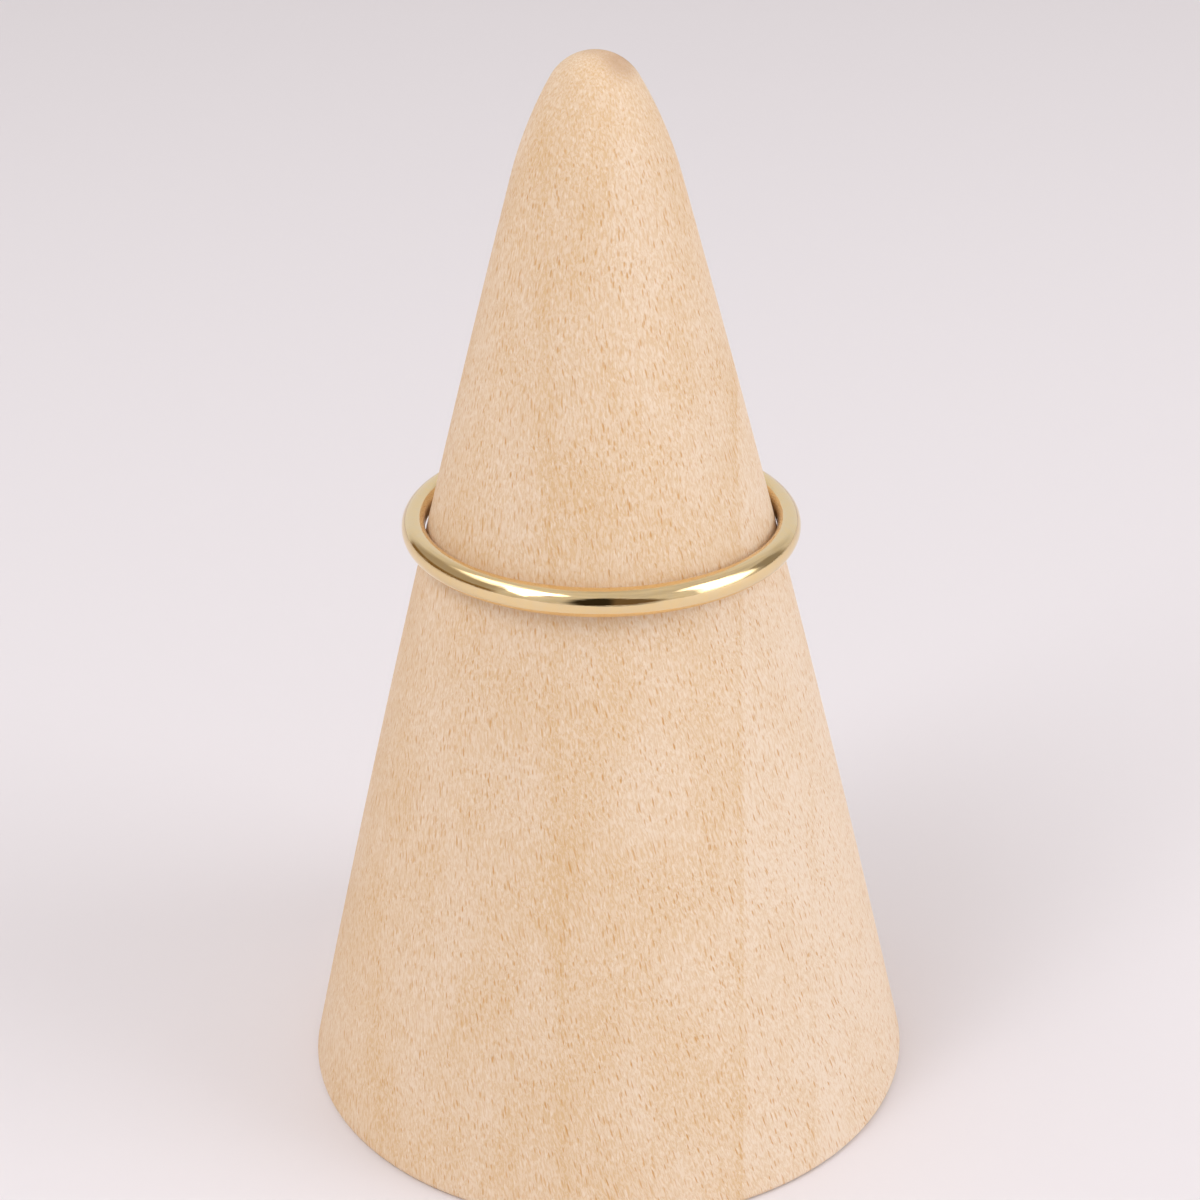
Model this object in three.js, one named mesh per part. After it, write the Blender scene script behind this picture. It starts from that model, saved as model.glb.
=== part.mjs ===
// A plain polished band resting on a tapered wooden ring stand.
// Millimetres, +Z up. The origin is the middle of the stand's foot, on the surface it stands on.
import * as THREE from 'three';

// The band
const RING_BORE = 17.3;         // inside diameter
const BAND_THICKNESS = 1.1;     // from the bore to the outermost line, across the wall
const BAND_HEIGHT = 1.4;        // along the ring's axis
const BORE_EDGE_DEPTH = 0.45;   // how far the rounded inner edge runs across the wall
const BORE_FLAT = 0.3;          // height of the straight part of the bore
const RING_LEAN = 0.5;          // degrees that the band tips towards +X as it rests

// The stand
const FOOT_DIAMETER = 31.6;     // where the flank would meet the ground with a sharp edge
const STAND_HEIGHT = 53.5;
const FOOT_EDGE_RADIUS = 0.3;   // sanded edge round the foot
const FLANK_RADIUS = 1090;      // the flank is one very slow curve
const SHOULDER_RADIUS = 19.4;   // where the flank turns in under the tip
const TIP_RADIUS = 2.35;        // round end
const TIP_SWEEP = 60;           // degrees of the tip's arc, from the axis outwards

// The fit between them
const SEAT_CLEARANCE = 0.06;    // least distance from the band to the wood

// How finely the curves are cut
const SIDES = 96;               // round the axis, for both pieces, so that their facets line up
const TIP_STEPS = 6;
const SHOULDER_STEPS = 6;
const FLANK_STEPS = 8;
const FOOT_EDGE_STEPS = 3;
const DOME_STEPS = 12;
const BORE_EDGE_STEPS = 5;
const SOLVE_STEPS = 60;         // halvings when a value is searched for

const GOLD = { color: 0xe0bd86, roughness: 0.12, metalness: 1 };
const WOOD = { color: 0xe3c5a4, roughness: 0.75, metalness: 0 };

const HALF_TURN = Math.PI;
const QUARTER_TURN = Math.PI / 2;

// Points on an ellipse's arc, from one angle to another. With equal radii it is a circle's arc.
function arcPoints(centreX, centreY, radiusX, radiusY, from, to, steps) {
  return Array.from({ length: steps + 1 }, (_, i) => {
    const angle = from + ((to - from) * i) / steps;
    return new THREE.Vector2(centreX + radiusX * Math.cos(angle), centreY + radiusY * Math.sin(angle));
  });
}

// Halves the range until it closes on the value where the test turns from false to true.
function solve(low, high, isPast) {
  for (let i = 0; i < SOLVE_STEPS; i += 1) {
    const middle = (low + high) / 2;
    if (isPast(middle)) high = middle;
    else low = middle;
  }
  return high;
}

// An arc that runs on from the lower end of the arc above it, with the same slant there.
function arcBelow(above, radius, lowerAngle) {
  const shift = above.radius - radius;
  return {
    x: above.x + shift * Math.cos(above.lower),
    y: above.y + shift * Math.sin(above.lower),
    radius,
    lower: lowerAngle,
    upper: above.lower,
  };
}

// The stand's side from the top down: tip, shoulder and flank, as arcs in radius and height.
// An angle is that of the outward normal above the horizontal, which is also the wall's slant.
function standArcs(flankTopAngle) {
  const tip = {
    x: 0,
    y: STAND_HEIGHT - TIP_RADIUS,
    radius: TIP_RADIUS,
    lower: THREE.MathUtils.degToRad(90 - TIP_SWEEP),
    upper: QUARTER_TURN,
  };
  const shoulder = arcBelow(tip, SHOULDER_RADIUS, flankTopAngle);
  const flank = arcBelow(shoulder, FLANK_RADIUS, 0);
  flank.lower = Math.asin(-flank.y / FLANK_RADIUS);
  return [tip, shoulder, flank];
}

// The flank's slant under the shoulder is the one that lands it on the foot's diameter.
const tipSlant = THREE.MathUtils.degToRad(90 - TIP_SWEEP);
const flankTopAngle = solve(0, tipSlant, (angle) => {
  const flank = standArcs(angle)[2];
  return flank.x + FLANK_RADIUS * Math.cos(flank.lower) > FOOT_DIAMETER / 2;
});
const STAND_ARCS = standArcs(flankTopAngle);

// The outline of the stand, from the middle of the foot to the top of the tip.
function standOutline() {
  const [tip, shoulder, flank] = STAND_ARCS;
  const edgeX = flank.x
    + Math.sqrt((FLANK_RADIUS - FOOT_EDGE_RADIUS) ** 2 - (FOOT_EDGE_RADIUS - flank.y) ** 2);
  const edgeTop = Math.atan2(FOOT_EDGE_RADIUS - flank.y, edgeX - flank.x);
  const along = (arc, from, steps) => (
    arcPoints(arc.x, arc.y, arc.radius, arc.radius, from, arc.upper, steps).slice(1));
  return [
    new THREE.Vector2(0, 0),
    ...arcPoints(edgeX, FOOT_EDGE_RADIUS, FOOT_EDGE_RADIUS, FOOT_EDGE_RADIUS,
      -QUARTER_TURN, edgeTop, FOOT_EDGE_STEPS),
    ...along(flank, edgeTop, FLANK_STEPS),
    ...along(shoulder, shoulder.lower, SHOULDER_STEPS),
    ...along(tip, tip.lower, TIP_STEPS).slice(0, -1),
    new THREE.Vector2(0, STAND_HEIGHT),
  ];
}

// The band's section, closed: a domed outside, two rounded inner edges and a short straight bore.
function bandSection() {
  const boreRadius = RING_BORE / 2;
  const halfHeight = BAND_HEIGHT / 2;
  const edgeDepth = Math.min(BORE_EDGE_DEPTH, BAND_THICKNESS / 2);
  const domeX = boreRadius + edgeDepth;
  const domeDepth = BAND_THICKNESS - edgeDepth;
  const edgeY = Math.min(BORE_FLAT, halfHeight) / 2;
  const edgeHeight = halfHeight - edgeY;
  const dome = arcPoints(domeX, 0, domeDepth, halfHeight, -QUARTER_TURN, QUARTER_TURN, DOME_STEPS);
  const upperEdge = arcPoints(domeX, edgeY, edgeDepth, edgeHeight,
    QUARTER_TURN, HALF_TURN, BORE_EDGE_STEPS).slice(1);
  const lowerEdge = arcPoints(domeX, -edgeY, edgeDepth, edgeHeight,
    HALF_TURN, HALF_TURN + QUARTER_TURN, BORE_EDGE_STEPS);
  lowerEdge[lowerEdge.length - 1] = dome[0].clone();
  return [...dome, ...upperEdge, ...lowerEdge];
}

// Turns an outline of radius and height about the vertical axis.
function turned(outline) {
  return new THREE.LatheGeometry(outline, SIDES).rotateX(QUARTER_TURN);
}

// How far a point lies outside the stand's side, square to it.
function gapToStand(radius, height) {
  const arc = STAND_ARCS.find(({ x, y, lower }) => Math.atan2(height - y, radius - x) >= lower)
    ?? STAND_ARCS[STAND_ARCS.length - 1];
  return Math.hypot(radius - arc.x, height - arc.y) - arc.radius;
}

// The height of the band's middle at which its nearest point just clears the wood.
function seatHeight(leaningBand) {
  const { position } = leaningBand.attributes;
  const lowest = leaningBand.boundingBox.min.z;
  const clears = (height) => {
    for (let i = 0; i < position.count; i += 1) {
      const radius = Math.hypot(position.getX(i), position.getY(i));
      if (gapToStand(radius, position.getZ(i) + height) < SEAT_CLEARANCE) return false;
    }
    return true;
  };
  return solve(-lowest, STAND_HEIGHT, clears);
}

function standCone() {
  const mesh = new THREE.Mesh(turned(standOutline()), new THREE.MeshStandardMaterial(WOOD));
  mesh.name = 'stand_cone';
  return mesh;
}

function ringBand() {
  const lean = THREE.MathUtils.degToRad(RING_LEAN);
  const geometry = turned(bandSection());
  const leaning = geometry.clone().rotateY(lean);
  leaning.computeBoundingBox();
  const mesh = new THREE.Mesh(geometry, new THREE.MeshStandardMaterial(GOLD));
  mesh.name = 'ring_band';
  mesh.rotation.y = lean;
  mesh.position.z = seatHeight(leaning);
  return mesh;
}

const ring = new THREE.Group();
ring.add(standCone(), ringBand());

export default ring;
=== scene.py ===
"""A polished gold band resting on a turned wooden ring stand, dressed and lit for a soft product picture.

Laid out as an add-on: the settings, one operator for each piece, a panel that lists them, and main, which
runs them in order. Lengths are in metres. The frame gives the pieces' places and overall sizes.
"""

import math
from collections import namedtuple

import bpy
import numpy as np
from mathutils import Matrix, Vector


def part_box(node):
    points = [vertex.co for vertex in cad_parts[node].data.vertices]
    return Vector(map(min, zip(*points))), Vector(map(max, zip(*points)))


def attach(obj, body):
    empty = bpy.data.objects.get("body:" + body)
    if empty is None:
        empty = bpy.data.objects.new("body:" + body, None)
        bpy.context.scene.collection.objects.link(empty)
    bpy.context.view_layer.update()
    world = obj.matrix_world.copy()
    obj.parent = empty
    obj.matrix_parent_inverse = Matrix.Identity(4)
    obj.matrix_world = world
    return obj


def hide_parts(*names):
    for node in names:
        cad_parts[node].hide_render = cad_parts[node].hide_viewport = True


bl_info = {
    "name": "Gold Band on a Wooden Ring Stand",
    "version": (1, 0, 0),
    "blender": (4, 5, 0),
    "location": "View3D > Sidebar > Ring",
    "description": "Builds the band, the turned stand, and a plain pale stage round them",
    "category": "Add Mesh",
}

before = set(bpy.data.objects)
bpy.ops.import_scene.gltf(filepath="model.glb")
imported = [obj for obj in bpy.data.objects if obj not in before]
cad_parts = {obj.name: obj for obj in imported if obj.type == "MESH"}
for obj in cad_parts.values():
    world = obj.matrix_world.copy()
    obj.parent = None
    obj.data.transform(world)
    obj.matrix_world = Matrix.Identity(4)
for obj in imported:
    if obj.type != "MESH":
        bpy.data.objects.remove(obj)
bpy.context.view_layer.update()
BAND_LOW, BAND_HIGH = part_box("ring_band")
BAND_CENTRE = (BAND_LOW + BAND_HIGH) / 2
STAND_LOW, STAND_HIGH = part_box("stand_cone")

BODY = "root"
QUARTER = math.pi / 2
SEARCH_STEPS = 60


# Settings

class BandSettings(bpy.types.PropertyGroup):
    """Sizes and finish of the gold band."""

    wall: bpy.props.FloatProperty(
        name="Wall", description="From the bore to the outermost line of the band",
        default=0.00114, min=0.0004, unit="LENGTH")
    height: bpy.props.FloatProperty(
        name="Height", description="Along the ring's own axis",
        default=0.0014, min=0.0004, unit="LENGTH")
    edge_depth: bpy.props.FloatProperty(
        name="Edge Depth", description="How far the rounded inner edge runs across the wall",
        default=0.00049, min=0.0, unit="LENGTH")
    bore_flat: bpy.props.FloatProperty(
        name="Bore Flat", description="Height of the straight part of the bore",
        default=0.0003, min=0.0, unit="LENGTH")
    lean: bpy.props.FloatProperty(
        name="Lean", description="How far the band tips as it rests on the wood",
        default=math.radians(0.5), subtype="ANGLE")
    gold: bpy.props.FloatVectorProperty(
        name="Gold", description="Colour of the polished metal",
        default=(0.885, 0.69, 0.395), size=3, min=0.0, max=1.0, subtype="COLOR")
    polish: bpy.props.FloatProperty(
        name="Roughness", description="Roughness of the polished metal",
        default=0.045, min=0.0, max=1.0, subtype="FACTOR")


class StandSettings(bpy.types.PropertyGroup):
    """Form and wood of the stand."""

    flank_radius: bpy.props.FloatProperty(
        name="Flank Radius", description="Radius of the slow curve of the flank",
        default=1.09, unit="LENGTH")
    shoulder_radius: bpy.props.FloatProperty(
        name="Shoulder Radius", description="Radius where the flank turns in under the tip",
        default=0.0194, unit="LENGTH")
    tip_radius: bpy.props.FloatProperty(
        name="Tip Radius", description="Radius of the round end",
        default=0.00235, unit="LENGTH")
    tip_sweep: bpy.props.FloatProperty(
        name="Tip Sweep", description="The tip's arc, from the axis outwards",
        default=math.radians(60), subtype="ANGLE")
    foot_edge: bpy.props.FloatProperty(
        name="Foot Edge", description="Radius of the sanded edge round the foot",
        default=0.0003, unit="LENGTH")
    pale_wood: bpy.props.FloatVectorProperty(
        name="Pale Wood", description="Colour of the light fibres",
        default=(0.85, 0.695, 0.545), size=3, min=0.0, max=1.0, subtype="COLOR")
    warm_wood: bpy.props.FloatVectorProperty(
        name="Warm Wood", description="Colour of the deeper, more orange wood",
        default=(0.725, 0.495, 0.275), size=3, min=0.0, max=1.0, subtype="COLOR")
    pore_wood: bpy.props.FloatVectorProperty(
        name="Pores", description="Colour inside the open pores",
        default=(0.64, 0.32, 0.09), size=3, min=0.0, max=1.0, subtype="COLOR")
    tip_wood: bpy.props.FloatVectorProperty(
        name="Darkened Tip", description="Browner colour on one side of the tip",
        default=(0.55, 0.355, 0.22), size=3, min=0.0, max=1.0, subtype="COLOR")


class StageSettings(bpy.types.PropertyGroup):
    """Floor, light and camera."""

    floor_size: bpy.props.FloatProperty(
        name="Floor Size", description="Width of the plain floor",
        default=4.0, unit="LENGTH")
    floor: bpy.props.FloatVectorProperty(
        name="Floor", description="Colour of the plain pale floor",
        default=(0.79, 0.755, 0.775), size=3, min=0.0, max=1.0, subtype="COLOR")
    room: bpy.props.FloatVectorProperty(
        name="Room", description="Light of the room away from its lamps and shades",
        default=(0.66, 0.63, 0.62), size=3, min=0.0, soft_max=1.0, subtype="COLOR")
    backdrop: bpy.props.FloatVectorProperty(
        name="Backdrop", description="Light of the paler side behind the stand",
        default=(0.78, 0.78, 0.82), size=3, min=0.0, soft_max=1.0, subtype="COLOR")
    horizon: bpy.props.FloatVectorProperty(
        name="Horizon", description="Plain tone that the camera sees beyond the floor",
        default=(0.60, 0.585, 0.59), size=3, min=0.0, max=1.0, subtype="COLOR")
    camera_distance: bpy.props.FloatProperty(
        name="Camera Distance", description="From the camera to the point it looks at",
        default=0.12125, unit="LENGTH")
    camera_height: bpy.props.FloatProperty(
        name="Aim Height", description="Height on the axis that the camera looks at",
        default=0.0261, unit="LENGTH")
    camera_side: bpy.props.FloatProperty(
        name="Aim Side", description="How far to the left of the axis the camera looks",
        default=-0.000116, unit="LENGTH")
    camera_elevation: bpy.props.FloatProperty(
        name="Elevation", description="How steeply the camera looks down",
        default=math.radians(26.13), subtype="ANGLE")
    camera_roll: bpy.props.FloatProperty(
        name="Roll", description="How far the camera is tipped to its side",
        default=math.radians(-0.86), subtype="ANGLE")
    lens: bpy.props.FloatProperty(
        name="Lens", description="Focal length in millimetres on a sensor 36 mm wide", default=73.17)


# Surfaces

def arc(centre, radii, start, end, count):
    """Points of an ellipse's arc: centre plus the radii times cosine and sine of an evenly stepped angle."""
    angle = np.linspace(start, end, count)
    return np.stack([centre[0] + radii[0] * np.cos(angle), centre[1] + radii[1] * np.sin(angle)], axis=1)


def joined(*stretches):
    """The stretches one after another, each without its first point, which the one before has."""
    return np.concatenate([stretches[0]] + [s[1:] for s in stretches[1:]])


def mesh_piece(name, points, quads, triangles=()):
    """A piece from arrays of points and faces, shaded smooth."""
    mesh = bpy.data.meshes.new(name)
    mesh.from_pydata(points.tolist(), [], quads.tolist() + list(triangles))
    mesh.shade_smooth()
    mesh.update()
    piece = bpy.data.objects.new(name, mesh)
    bpy.context.scene.collection.objects.link(piece)
    return piece


def turned_grid(outline, sides):
    """Each outline point (radius, height) carried round the axis: x is radius times the cosine of the
    azimuth, y is radius times its sine, z is the height. Rows follow the outline, columns the azimuth."""
    azimuth = np.linspace(0.0, 2 * math.pi, sides, endpoint=False)
    radius, height = outline[:, :1], outline[:, 1:]
    grid = np.stack([radius * np.cos(azimuth), radius * np.sin(azimuth), height + 0 * azimuth], axis=-1)
    return grid


def grid_quads(rows, columns, wrap_rows):
    """Four corners of each cell of a grid whose columns close on themselves, and whose rows may too."""
    row = np.arange(rows if wrap_rows else rows - 1)[:, None]
    column = np.arange(columns)[None, :]
    next_row, next_column = (row + 1) % rows, (column + 1) % columns
    corners = [row * columns + column, row * columns + next_column,
               next_row * columns + next_column, next_row * columns + column]
    return np.stack(np.broadcast_arrays(*corners), axis=-1).reshape(-1, 4)


# Nodes

class Weaver:
    """Adds and joins shader nodes in one tree. A value is a number, a vector, a colour or another socket."""

    def __init__(self, tree):
        tree.nodes.clear()
        self.tree = tree

    def add(self, kind, inputs=None, **settings):
        node = self.tree.nodes.new(kind)
        for key, value in settings.items():
            setattr(node, key, value)
        for key, value in (inputs or {}).items():
            self.feed(node.inputs[key], value)
        return node

    def feed(self, socket, value):
        if isinstance(value, bpy.types.NodeSocket):
            self.tree.links.new(value, socket)
        else:
            socket.default_value = value

    def math(self, operation, *values, clamp=False):
        node = self.add("ShaderNodeMath", operation=operation, use_clamp=clamp)
        for socket, value in zip(node.inputs, values):
            self.feed(socket, value)
        return node.outputs[0]

    def vector(self, operation, *values):
        node = self.add("ShaderNodeVectorMath", operation=operation)
        for socket, value in zip(node.inputs, values):
            self.feed(socket, value)
        return node.outputs[0]

    def scaled(self, vector, factors):
        return self.vector("MULTIPLY", vector, factors)

    def noise(self, vector, scale, detail=2.0, roughness=0.5, colour=False):
        node = self.add("ShaderNodeTexNoise", inputs={
            "Vector": vector, "Scale": scale, "Detail": detail, "Roughness": roughness})
        return node.outputs["Color" if colour else "Fac"]

    def ramp(self, value, low, high, to_low=0.0, to_high=1.0, smooth=True):
        shape = "SMOOTHSTEP" if smooth else "LINEAR"
        node = self.add("ShaderNodeMapRange", interpolation_type=shape, inputs={
            "Value": value, "From Min": low, "From Max": high, "To Min": to_low, "To Max": to_high})
        return node.outputs["Result"]

    def mix(self, factor, first, second):
        node = self.add("ShaderNodeMix", data_type="RGBA")
        factor_socket, first_socket, second_socket = node.inputs[0], node.inputs[6], node.inputs[7]
        self.feed(factor_socket, factor)
        self.feed(first_socket, first)
        self.feed(second_socket, second)
        return node.outputs[2]

    def surface(self, shader, kind="ShaderNodeOutputMaterial"):
        output = self.add(kind)
        self.feed(output.inputs["Surface"], shader)


def new_material(name):
    material = bpy.data.materials.new(name)
    material.use_nodes = True
    return material, Weaver(material.node_tree)


def rgba(colour):
    return (*colour, 1.0)


# The band

# How finely the band is cut: round the ring, and along the dome, each inner edge and the bore.
BAND_SIDES = 512
DOME_POINTS = 49
INNER_EDGE_POINTS = 17
BORE_POINTS = 9

# The polish. A scale says how many patterns lie in a metre, and a depth is that of the relief in metres.
SWELL_SCALE = 900.0
SWELL_DEPTH = 0.00002
SWELL_SHARE = 0.35
CLOUD_SCALE = 2200.0
HAIRLINE_SCALE = 9000.0
HAIRLINE_DEPTH = 0.000006

# Metres of hairline pattern to a radian round the band. It is small, so that the hairlines are long.
HAIRLINE_SPREAD = 0.0005

# Red, green and blue of the clouded gold as shares of the clear, and its roughness in the same way.
CLOUDED_GOLD = (1.02, 1.0, 0.94)
CLEAR_ROUGHNESS, CLOUDED_ROUGHNESS = 0.8, 1.3


def band_outline(settings, outer_radius):
    """The band's closed section: half an ellipse outside, a quarter ellipse at each inner edge, and a
    straight bore between them. Radius and height, from the lowest point round the outside."""
    half = settings.height / 2
    depth, rise = settings.edge_depth, half - settings.bore_flat / 2
    middle = outer_radius - settings.wall + depth
    dome = arc((middle, 0), (settings.wall - depth, half), -QUARTER, QUARTER, DOME_POINTS)
    upper = arc((middle, half - rise), (depth, rise), QUARTER, 2 * QUARTER, INNER_EDGE_POINTS)
    lower = arc((middle, rise - half), (depth, rise), 2 * QUARTER, 3 * QUARTER, INNER_EDGE_POINTS)
    bore = np.linspace(upper[-1], lower[0], BORE_POINTS)
    return joined(dome, upper, bore, lower)[:-1]


def gold_material(settings):
    """Polished gold: a clear mirror with the faint unevenness and hairlines of hand polishing."""
    material, weave = new_material("polished_gold")
    place = weave.add("ShaderNodeTexCoord").outputs["Object"]
    swell = weave.noise(place, SWELL_SCALE, detail=1.0)
    cloud = weave.noise(place, CLOUD_SCALE, detail=2.0)

    # Hairlines run round the band: the pattern changes fast with radius and height, slowly with the angle.
    x, y, z = weave.add("ShaderNodeSeparateXYZ", inputs={"Vector": place}).outputs
    squares = weave.math("ADD", weave.math("MULTIPLY", x, x), weave.math("MULTIPLY", y, y))
    radius = weave.math("SQRT", squares)
    angle = weave.math("MULTIPLY", weave.math("ARCTAN2", y, x), HAIRLINE_SPREAD)
    round_band = weave.add("ShaderNodeCombineXYZ", inputs={"X": radius, "Y": angle, "Z": z}).outputs[0]
    lines = weave.noise(round_band, HAIRLINE_SCALE, detail=3.0, roughness=0.6)

    bumps = weave.add("ShaderNodeBump", inputs={
        "Strength": SWELL_SHARE, "Distance": SWELL_DEPTH, "Height": swell})
    fine = weave.add("ShaderNodeBump", inputs={
        "Strength": 1.0, "Distance": HAIRLINE_DEPTH, "Height": lines, "Normal": bumps.outputs[0]})
    clouded = [channel * share for channel, share in zip(settings.gold, CLOUDED_GOLD)]
    tone = weave.mix(weave.ramp(cloud, 0.35, 0.65), rgba(settings.gold), rgba(clouded))
    clear, cloudy = settings.polish * CLEAR_ROUGHNESS, settings.polish * CLOUDED_ROUGHNESS
    shine = weave.ramp(cloud, 0.3, 0.7, clear, cloudy)
    shader = weave.add("ShaderNodeBsdfPrincipled", inputs={
        "Base Color": tone, "Metallic": 1.0, "Roughness": shine, "Normal": fine.outputs[0]})
    weave.surface(shader.outputs[0])
    return material


class RING_OT_band(bpy.types.Operator):
    """Build the polished gold band where it rests on the stand"""

    bl_idname = "ring.band"
    bl_label = "Gold Band"

    def execute(self, context):
        settings = context.scene.ring_band
        outer_radius = (BAND_HIGH.y - BAND_LOW.y) / 2
        outline = band_outline(settings, outer_radius)
        grid = turned_grid(outline, BAND_SIDES)
        x, y, z = grid[..., 0], grid[..., 1], grid[..., 2]
        # The band tips about the Y axis: x and z turn together through the lean, y stays.
        along, up = math.cos(settings.lean), math.sin(settings.lean)
        tipped = np.stack([x * along + z * up, y, z * along - x * up], axis=-1)
        points = tipped.reshape(-1, 3) + np.array(BAND_CENTRE)
        band = mesh_piece("gold_band", points, grid_quads(len(outline), BAND_SIDES, True))
        band.data.materials.append(gold_material(settings))
        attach(band, BODY)
        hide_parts("ring_band")
        return {"FINISHED"}


# The stand

# How finely the stand is cut: round its axis, and along each stretch of its outline from the foot up.
STAND_SIDES = 320
FOOT_POINTS = 24
FOOT_EDGE_POINTS = 9
FLANK_POINTS = 150
SHOULDER_POINTS = 40
TIP_POINTS = 28

# The wood. Its lengths are in millimetres, and a scale says how many patterns lie in one.
PER_METRE = (1000.0, 1000.0, 1000.0)

# Radians that the threads turn round the axis in a millimetre of height.
TWIST = 0.014

# How wide the threads wander, in curls and in fine shivers, and how close these lie.
CURL_SCALE, CURL_REACH = 0.16, 0.8
SHIVER_SCALE, SHIVER_REACH = 1.1, 0.12

# Fibres are longer along the tree than across it, and so are the soft patches, by these shares.
FIBRE_SCALE, FIBRE_SHARE = 11.5, 0.22
MOTTLE_SCALE, MOTTLE_SHARE = 0.33, 0.45

# Tubes: the scale of their cells, where a tube's soft wall starts and ends as shares of its cell, and the
# share of the cells whose tube stays closed.
Tubes = namedtuple("Tubes", "scale inner outer closed")
LARGE_PORES = Tubes(2.6, 0.05, 0.16, 0.55)
SMALL_PORES = Tubes(4.6, 0.08, 0.27, 0.15)
# The flecks are painted glints: small pale marks that stand for light caught on the sanded surface.
PAINTED_GLINTS = Tubes(5.2, 0.05, 0.24, 0.10)

# Where each growth layer lies across the stand, how strong its line is, and how pale the wood beyond it.
GrowthLayer = namedtuple("GrowthLayer", "across line beyond")
GROWTH_LAYERS = (
    GrowthLayer(-11.5, 0.35, 0.10),
    GrowthLayer(-2.2, 0.45, 0.12),
    GrowthLayer(6.45, 1.00, 0.50),
    GrowthLayer(10.2, 0.50, 0.20),
)

# Painted shade: the middle of the front is less lit than the sides, so a broad band there is made darker.
# Where it comes in on its left, and where it fades out on its right.
FRONT_SHADE_START = (-3.4, -2.2)
FRONT_SHADE_END = (-0.5, 1.5)

# How much each feature takes the wood from its warm colour to its pale one, or back. The flecks are painted
# highlights and the middle band is painted shade.
FIBRE_PALER = 0.58
PATCH_PALER = 0.26
GLINT_PALER = 0.68
BEYOND_PALER = 0.42
FRONT_SHADE_DARKER = 0.14
LINE_DEEPER = 0.16

# How deep the small pores are beside the large ones, how far a pore takes its own colour, and how much of it
# is left at the rubbed tip, between these heights.
SMALL_PORE_DEPTH = 0.85
PORE_COLOUR = 0.88
PORE_AT_TIP = 0.4
RUBBED_HEIGHTS = (48.0, 53.0)

# The darkened side of the tip: its direction across and back, its reach that way, and its heights.
DARKENED_WAY = (0.8, 0.6)
DARKENED_REACH = (-1.0, 0.5)
DARKENED_HEIGHTS = (52.1, 53.2)

# The sanded skin: the depth of its relief in metres, how proud a thread stands beside the depth of a pore,
# and the roughness of the deep and the pale fibres.
SKIN_DEPTH = 0.00002
THREAD_RISE = 0.45
DEEP_ROUGHNESS, PALE_ROUGHNESS = 0.72, 0.60


def stand_arcs(settings, height, top_slant):
    """Tip, shoulder and flank as (centre radius, centre height, radius, lower angle, upper angle). Each arc's
    centre lies on the line through the end it shares with the arc above, so they run on without a kink."""
    tip_low = QUARTER - settings.tip_sweep
    tip = (0.0, height - settings.tip_radius, settings.tip_radius, tip_low, QUARTER)
    step = settings.tip_radius - settings.shoulder_radius
    x = step * math.cos(tip_low)
    y = tip[1] + step * math.sin(tip_low)
    shoulder = (x, y, settings.shoulder_radius, top_slant, tip_low)
    step = settings.shoulder_radius - settings.flank_radius
    x += step * math.cos(top_slant)
    y += step * math.sin(top_slant)
    flank = (x, y, settings.flank_radius, math.asin(-y / settings.flank_radius), top_slant)
    return tip, shoulder, flank


def foot_edge(settings, flank):
    """The small arc between foot and flank: its centre is one edge radius above the ground and one inside
    the flank. Gives the centre's radius and the angle where the arc meets the flank."""
    x, y, radius = flank[:3]
    edge = settings.foot_edge
    centre = x + math.sqrt((radius - edge) ** 2 - (edge - y) ** 2)
    return centre, math.atan2(edge - y, centre - x)


def stand_outline(settings, height, widest):
    """The stand's outline, radius and height, from the middle of the foot to the top of the tip. The flank's
    slant is halved in on until the foot is as wide as it should be."""
    low, high = 0.0, QUARTER - settings.tip_sweep
    for _ in range(SEARCH_STEPS):
        slant = (low + high) / 2
        flank = stand_arcs(settings, height, slant)[2]
        if foot_edge(settings, flank)[0] + settings.foot_edge > widest:
            high = slant
        else:
            low = slant
    tip, shoulder, flank = stand_arcs(settings, height, slant)
    edge_x, edge_top = foot_edge(settings, flank)
    edge = settings.foot_edge

    def stretch(part, start, count):
        return arc(part[:2], (part[2], part[2]), start, part[4], count)

    return joined(
        np.stack([np.linspace(0.0, edge_x, FOOT_POINTS), np.zeros(FOOT_POINTS)], axis=1),
        arc((edge_x, edge), (edge, edge), -QUARTER, edge_top, FOOT_EDGE_POINTS),
        stretch(flank, edge_top, FLANK_POINTS),
        stretch(shoulder, shoulder[3], SHOULDER_POINTS),
        stretch(tip, tip[3], TIP_POINTS))


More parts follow.
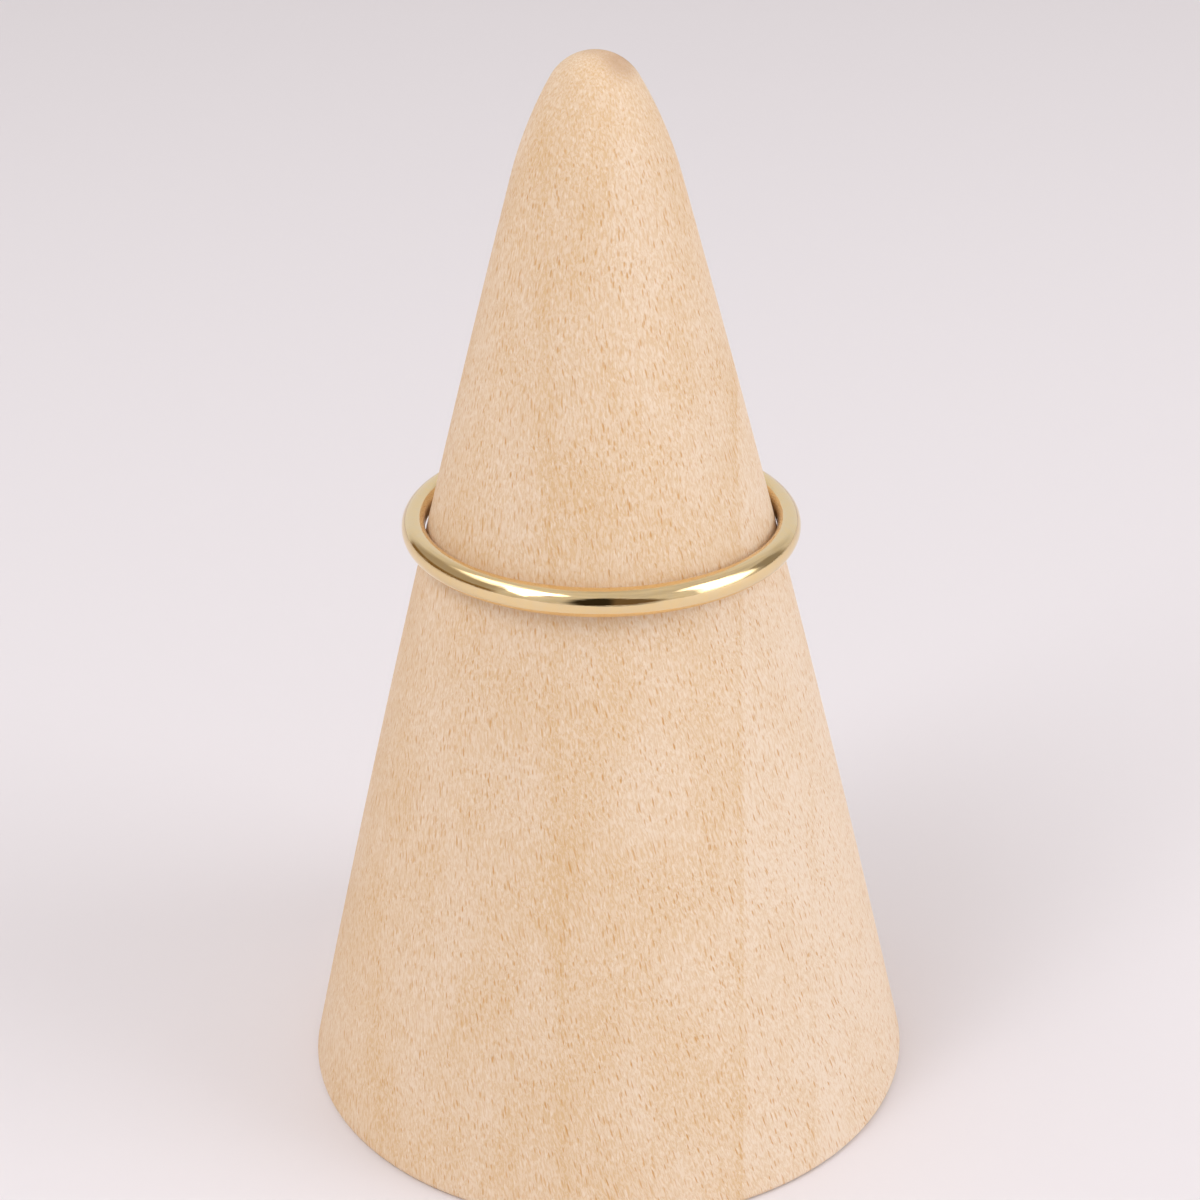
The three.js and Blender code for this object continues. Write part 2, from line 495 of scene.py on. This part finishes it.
def wood_material(settings):
    """Sanded pale hardwood. Everything in it runs along the tree, which is the stand's own axis: pores are
    thin upright tubes and fibres are upright threads, so the sloping flank cuts them into short flecks and
    the tip and foot show them end on. Growth layers are upright sheets across the X axis."""
    material, weave = new_material("sanded_hardwood")
    place = weave.scaled(weave.add("ShaderNodeTexCoord").outputs["Object"], PER_METRE)
    across, depth, height = weave.add("ShaderNodeSeparateXYZ", inputs={"Vector": place}).outputs

    # Threads: they twist slowly round the axis, wander in wide curls and shiver finely.
    twisted = weave.add("ShaderNodeVectorRotate", rotation_type="Z_AXIS", inputs={
        "Vector": place, "Angle": weave.math("MULTIPLY", height, TWIST)}).outputs[0]

    def wander(scale, detail):
        swing = weave.noise(place, scale, detail=detail, colour=True)
        return weave.vector("SUBTRACT", swing, (0.5, 0.5, 0.5))

    curl, shiver = wander(CURL_SCALE, 2.0), wander(SHIVER_SCALE, 1.0)
    thread = weave.vector("ADD", twisted, weave.scaled(curl, (CURL_REACH, CURL_REACH, 0.0)))
    thread = weave.vector("ADD", thread, weave.scaled(shiver, (SHIVER_REACH, SHIVER_REACH, 0.0)))

    # Tubes: a cell pattern seen down the tree. Each cell has one tube, and its own chance decides its depth.
    def tubes(kind):
        cells = weave.add("ShaderNodeTexVoronoi", voronoi_dimensions="2D", inputs={
            "Vector": thread, "Scale": kind.scale, "Randomness": 1.0})
        tube = weave.ramp(cells.outputs["Distance"], kind.inner, kind.outer, 1.0, 0.0)
        chance = weave.add("ShaderNodeSeparateColor", inputs={"Color": cells.outputs["Color"]}).outputs[0]
        return weave.math("MULTIPLY", tube, weave.ramp(chance, kind.closed, 1.0, smooth=False))

    small = weave.math("MULTIPLY", tubes(SMALL_PORES), SMALL_PORE_DEPTH)
    pores = weave.math("MAXIMUM", tubes(LARGE_PORES), small)
    pores = weave.math("MULTIPLY", pores, weave.ramp(height, *RUBBED_HEIGHTS, 1.0, PORE_AT_TIP))
    # Painted glints: small pale flecks that stand for light caught on the sanded surface.
    flecks = tubes(PAINTED_GLINTS)

    # Fibres: fine upright threads, pale against deep.
    fibre = weave.add("ShaderNodeTexNoise", inputs={
        "Vector": weave.scaled(thread, (1.0, 1.0, FIBRE_SHARE)), "Scale": FIBRE_SCALE,
        "Detail": 2.0, "Roughness": 0.55, "Distortion": 0.7}).outputs["Fac"]
    fibre = weave.ramp(fibre, 0.36, 0.64)

    # Growth layers: upright sheets, each ending in a thin darker line with paler wood beyond it.
    bent = weave.vector("ADD", place, weave.scaled(curl, (0.5, 0.0, 0.0)))
    sheet = weave.add("ShaderNodeSeparateXYZ", inputs={"Vector": bent}).outputs[0]
    line, pale_side = 0.0, 0.0
    for layer in GROWTH_LAYERS:
        away = weave.math("SUBTRACT", sheet, layer.across)
        rise, fall = weave.ramp(away, -0.55, -0.02), weave.ramp(away, 0.0, 0.12, 1.0, 0.0)
        near = weave.math("MULTIPLY", weave.math("MULTIPLY", rise, fall), layer.line)
        beyond = weave.math("MULTIPLY", weave.ramp(away, 0.0, 0.3), layer.beyond)
        line = weave.math("ADD", line, near)
        pale_side = weave.math("ADD", pale_side, beyond)

    # Painted shade: a broad band in the middle of the front is darker in colour, standing in for the front
    # being less lit than the sides.
    come, go = weave.ramp(sheet, *FRONT_SHADE_START), weave.ramp(sheet, *FRONT_SHADE_END, 1.0, 0.0)
    deeper = weave.math("MULTIPLY", come, go)

    # Mottling: soft patches, longer along the tree.
    drawn_out = weave.scaled(place, (1.0, 1.0, MOTTLE_SHARE))
    patch = weave.ramp(weave.noise(drawn_out, MOTTLE_SCALE, detail=3.0, roughness=0.55), 0.3, 0.7)

    tone = weave.math("MULTIPLY", fibre, FIBRE_PALER)
    tone = weave.math("ADD", tone, weave.math("MULTIPLY", patch, PATCH_PALER))
    # Painted highlight: the glints make the wood paler.
    tone = weave.math("ADD", tone, weave.math("MULTIPLY", flecks, GLINT_PALER))
    tone = weave.math("ADD", tone, weave.math("MULTIPLY", pale_side, BEYOND_PALER))
    # Painted shade: the middle band takes the wood back towards its warm colour.
    tone = weave.math("SUBTRACT", tone, weave.math("MULTIPLY", deeper, FRONT_SHADE_DARKER))
    tone = weave.math("SUBTRACT", tone, weave.math("MULTIPLY", line, LINE_DEEPER), clamp=True)
    colour = weave.mix(tone, rgba(settings.warm_wood), rgba(settings.pale_wood))
    colour = weave.mix(weave.math("MULTIPLY", pores, PORE_COLOUR), colour, rgba(settings.pore_wood))

    # The tip is a little browner towards the right and the back, where the end grain has darkened.
    rightward, backward = DARKENED_WAY
    to_right, to_back = weave.math("MULTIPLY", across, rightward), weave.math("MULTIPLY", depth, backward)
    reach = weave.ramp(weave.math("ADD", to_right, to_back), *DARKENED_REACH)
    uneven = weave.ramp(weave.noise(place, 0.7, detail=2.0), 0.3, 0.6, 0.6, 1.0)
    darkened = weave.math("MULTIPLY", weave.ramp(height, *DARKENED_HEIGHTS), reach)
    darkened = weave.math("MULTIPLY", darkened, uneven)
    colour = weave.mix(darkened, colour, rgba(settings.tip_wood))

    # The sanded skin: pores are tiny pits and the pale threads stand a hair proud.
    relief = weave.math("SUBTRACT", weave.math("MULTIPLY", fibre, THREAD_RISE), pores)
    bump = weave.add("ShaderNodeBump", inputs={"Strength": 1.0, "Distance": SKIN_DEPTH, "Height": relief})
    dull = weave.ramp(fibre, 0.0, 1.0, DEEP_ROUGHNESS, PALE_ROUGHNESS)
    shader = weave.add("ShaderNodeBsdfPrincipled", inputs={
        "Base Color": colour, "Roughness": dull, "Specular IOR Level": 0.3, "Normal": bump.outputs[0]})
    weave.surface(shader.outputs[0])
    return material


class RING_OT_stand(bpy.types.Operator):
    """Build the turned wooden stand"""

    bl_idname = "ring.stand"
    bl_label = "Wooden Stand"

    def execute(self, context):
        settings = context.scene.ring_stand
        outline = stand_outline(settings, STAND_HIGH.z - STAND_LOW.z, (STAND_HIGH.y - STAND_LOW.y) / 2)
        inner = outline[1:-1]
        grid = turned_grid(inner, STAND_SIDES)
        grid[..., 2] += STAND_LOW.z

        # The foot and the tip close with a fan of triangles round a point on the axis.
        rim = np.arange(STAND_SIDES)
        following = (rim + 1) % STAND_SIDES
        top_row = (len(inner) - 1) * STAND_SIDES
        foot = len(inner) * STAND_SIDES
        tip = foot + 1
        ends = np.array([[0.0, 0.0, STAND_LOW.z], [0.0, 0.0, STAND_HIGH.z]])
        fans = np.concatenate([
            np.stack([following, rim, np.full(STAND_SIDES, foot)], axis=1),
            np.stack([top_row + rim, top_row + following, np.full(STAND_SIDES, tip)], axis=1)])
        points = np.concatenate([grid.reshape(-1, 3), ends])
        flank = grid_quads(len(inner), STAND_SIDES, False)
        stand = mesh_piece("wooden_stand", points, flank, fans.tolist())
        stand.data.materials.append(wood_material(settings))
        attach(stand, BODY)
        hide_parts("stand_cone")
        return {"FINISHED"}


# The stage

# The room is paler behind the stand, between these values of the direction's y, and cloudy elsewhere: how
# close the clouds lie, and the dimmest and brightest of them as shares of the room's light.
BEHIND = (0.55, 0.85)
ROOM_CLOUD_SCALE = 2.2
ROOM_CLOUDS = (0.84, 1.16)

# Soft-edged patches of the room that the gold mirrors: azimuth and elevation of the middle, half the width,
# half the height and the softness of the edge, all in degrees, then the light. Azimuth 0 is the front.
WallPatch = namedtuple("WallPatch", "azimuth elevation half_width half_height softness tone")
WALL_PATCHES = (
    WallPatch(-97, 26, 36, 17, 10, (0.40, 0.35, 0.30)),
    WallPatch(-96, 3, 36, 9, 4, (0.22, 0.14, 0.06)),
    WallPatch(-90, 55, 28, 9, 8, (2.5, 2.45, 2.4)),
    WallPatch(109, 12, 12, 20, 5, (0.29, 0.26, 0.23)),
)

# Light panels and the dark card between them, as outlines seen from the band: distance in metres, how much
# of the outline is at full strength, the tones of its left and right ends, the azimuth where they meet, and
# the azimuth and elevation of each corner.
LightPanel = namedtuple("LightPanel", "distance core left_tone right_tone seam corners")
LIGHT_PANELS = {
    "left_window": LightPanel(0.5, 0.5, (5.8, 5.8, 6.0), (5.8, 5.8, 6.0), 0, (
        (-42, 12), (-34, 42), (-20, 54), (-36, 67), (-66, 66), (-86, 57), (-66, 42), (-56, 28))),
    "right_window": LightPanel(0.5, 0.5, (3.65, 3.65, 3.74), (3.65, 3.65, 3.74), 0, (
        (52, -2), (54, 34), (46, 45), (64, 55), (84, 58), (97, 46), (98, 14), (82, -2))),
    "card": LightPanel(0.2, 0.72, (0.030, 0.022, 0.012), (0.15, 0.10, 0.055), 5, (
        (-12, -12), (-22, 4), (-20, 28), (-13, 45), (-2, 52), (10, 48), (21, 35), (34, 14),
        (37, 3), (26, -10), (6, -12))),
}

# How softly the two tones of a panel meet, as a share of its distance.
SEAM_WIDTH = 0.03

# The camera: the width of its sensor in millimetres, and the nearest distance that it sees.
SENSOR_WIDTH = 36.0
NEAREST = 0.005


def room_world(settings):
    """The room round the piece: a pale, slightly cloudy light, a paler side behind it, and the soft patches.
    A direction's azimuth is the arc tangent of x over minus y, and its elevation the arc sine of z."""
    world = bpy.data.worlds.new("room")
    world.use_nodes = True
    weave = Weaver(world.node_tree)
    direction = weave.add("ShaderNodeTexCoord").outputs["Generated"]
    x, y, z = weave.add("ShaderNodeSeparateXYZ", inputs={"Vector": direction}).outputs
    azimuth = weave.math("ARCTAN2", x, weave.math("MULTIPLY", y, -1.0))
    elevation = weave.math("ARCSINE", z)

    def within(angle, middle, half, soft):
        away = weave.math("ABSOLUTE", weave.math("SUBTRACT", angle, math.radians(middle)))
        return weave.ramp(away, math.radians(half - soft), math.radians(half + soft), 1.0, 0.0)

    behind = weave.ramp(y, *BEHIND)
    cloud = weave.noise(direction, ROOM_CLOUD_SCALE, detail=4.0, roughness=0.6)
    cloud = weave.ramp(cloud, 0.3, 0.7, *ROOM_CLOUDS)
    light = weave.mix(behind, weave.scaled(cloud, tuple(settings.room)), rgba(settings.backdrop))
    for patch in WALL_PATCHES:
        beside = within(azimuth, patch.azimuth, patch.half_width, patch.softness)
        level = within(elevation, patch.elevation, patch.half_height, patch.softness)
        light = weave.mix(weave.math("MULTIPLY", beside, level), light, rgba(patch.tone))

    # The camera sees a plain backdrop in place of the room.
    seen = weave.add("ShaderNodeLightPath").outputs["Is Camera Ray"]
    light = weave.mix(seen, light, rgba(settings.horizon))
    background = weave.add("ShaderNodeBackground", inputs={"Color": light, "Strength": 1.0})
    weave.surface(background.outputs[0], "ShaderNodeOutputWorld")
    return world


def toward(azimuth, elevation):
    """The direction that lies at this azimuth and elevation, in degrees, from the band."""
    azimuth, elevation = math.radians(azimuth), math.radians(elevation)
    return Vector((math.cos(elevation) * math.sin(azimuth),
                   -math.cos(elevation) * math.cos(azimuth), math.sin(elevation)))


def light_panel(name, row):
    """An outline on a sphere round the band that gives off light, at full strength in its core and fading to
    nothing at its rim. The camera doesn't see it, and a dark one shades nothing."""
    rim = np.array([toward(*corner) * row.distance for corner in row.corners])
    middle = rim.mean(axis=0)
    inner = middle + (rim - middle) * row.core
    count = len(row.corners)
    points = np.concatenate([middle[None], inner, rim]) + np.array(BAND_CENTRE)
    here, following = np.arange(count), (np.arange(count) + 1) % count
    fan = np.stack([np.zeros(count, int), 1 + here, 1 + following], axis=1)
    fringe = np.stack([1 + here, 1 + count + here, 1 + count + following, 1 + following], axis=1)
    panel = mesh_piece(name, points, fringe, fan.tolist())
    strength = panel.data.attributes.new("strength", "FLOAT", "POINT")
    strength.data.foreach_set("value", np.concatenate([np.ones(1 + count), np.zeros(count)]))

    material, weave = new_material(name)
    painted = weave.add("ShaderNodeAttribute", attribute_name="strength").outputs["Fac"]
    fade = weave.ramp(painted, 0.0, 1.0, smooth=False)
    place = weave.add("ShaderNodeTexCoord").outputs["Object"]
    across = weave.add("ShaderNodeSeparateXYZ", inputs={"Vector": place}).outputs[0]
    meet, blend = math.sin(math.radians(row.seam)) * row.distance, row.distance * SEAM_WIDTH
    side = weave.ramp(across, meet - blend, meet + blend)
    tone = weave.mix(side, rgba(row.left_tone), rgba(row.right_tone))
    clear = weave.add("ShaderNodeBsdfTransparent").outputs[0]
    light = weave.add("ShaderNodeEmission", inputs={"Color": tone, "Strength": 1.0}).outputs[0]
    shader = weave.add("ShaderNodeMixShader")
    for socket, value in zip(shader.inputs, (fade, clear, light)):
        weave.feed(socket, value)
    weave.surface(shader.outputs[0])
    panel.data.materials.append(material)
    panel.visible_camera = False
    if max(row.left_tone) < 1:
        panel.visible_diffuse = False
        panel.visible_shadow = False


class RING_OT_stage(bpy.types.Operator):
    """Build the plain pale floor, the soft lights and the camera"""

    bl_idname = "ring.stage"
    bl_label = "Stage"

    def execute(self, context):
        settings = context.scene.ring_stage
        corners = np.array([[-1.0, -1.0, 0.0], [1.0, -1.0, 0.0], [1.0, 1.0, 0.0], [-1.0, 1.0, 0.0]])
        floor = mesh_piece("floor", corners * settings.floor_size / 2, np.array([[0, 1, 2, 3]]))
        material, weave = new_material("pale_floor")
        shader = weave.add("ShaderNodeBsdfPrincipled", inputs={
            "Base Color": rgba(settings.floor), "Roughness": 0.8, "Specular IOR Level": 0.2})
        weave.surface(shader.outputs[0])
        floor.data.materials.append(material)

        scene = context.scene
        scene.world = room_world(settings)
        for name, row in LIGHT_PANELS.items():
            light_panel(name, row)

        elevation = settings.camera_elevation
        back = Vector((0.0, -math.cos(elevation), math.sin(elevation)))
        aim = Vector((settings.camera_side, 0.0, settings.camera_height))
        camera_data = bpy.data.cameras.new("camera")
        camera_data.lens = settings.lens
        camera_data.sensor_width = SENSOR_WIDTH
        camera_data.clip_start = NEAREST
        camera = bpy.data.objects.new("camera", camera_data)
        upright = back.to_track_quat("Z", "Y").to_matrix().to_4x4()
        roll = Matrix.Rotation(settings.camera_roll, 4, "Z")
        camera.matrix_world = Matrix.Translation(aim + back * settings.camera_distance) @ upright @ roll
        scene.collection.objects.link(camera)
        scene.camera = camera
        scene.view_settings.view_transform = "Standard"
        return {"FINISHED"}


# The panel

class RING_PT_panel(bpy.types.Panel):
    """The pieces and their settings, in the order that they are built"""

    bl_idname = "RING_PT_panel"
    bl_label = "Gold Band on a Stand"
    bl_space_type = "VIEW_3D"
    bl_region_type = "UI"
    bl_category = "Ring"

    def draw(self, context):
        for operator, group in ((RING_OT_stage, "ring_stage"), (RING_OT_stand, "ring_stand"),
                                (RING_OT_band, "ring_band")):
            section = self.layout.box()
            section.operator(operator.bl_idname)
            settings = getattr(context.scene, group)
            for name in settings.bl_rna.properties.keys():
                if name not in {"rna_type", "name"}:
                    section.prop(settings, name)


CLASSES = (BandSettings, StandSettings, StageSettings,
           RING_OT_band, RING_OT_stand, RING_OT_stage, RING_PT_panel)


def register():
    for item in CLASSES:
        bpy.utils.register_class(item)
    bpy.types.Scene.ring_band = bpy.props.PointerProperty(type=BandSettings)
    bpy.types.Scene.ring_stand = bpy.props.PointerProperty(type=StandSettings)
    bpy.types.Scene.ring_stage = bpy.props.PointerProperty(type=StageSettings)


def unregister():
    del bpy.types.Scene.ring_stage
    del bpy.types.Scene.ring_stand
    del bpy.types.Scene.ring_band
    for item in reversed(CLASSES):
        bpy.utils.unregister_class(item)


def main():
    register()
    bpy.ops.ring.stage()
    bpy.ops.ring.stand()
    bpy.ops.ring.band()


if __name__ == "__main__":
    main()
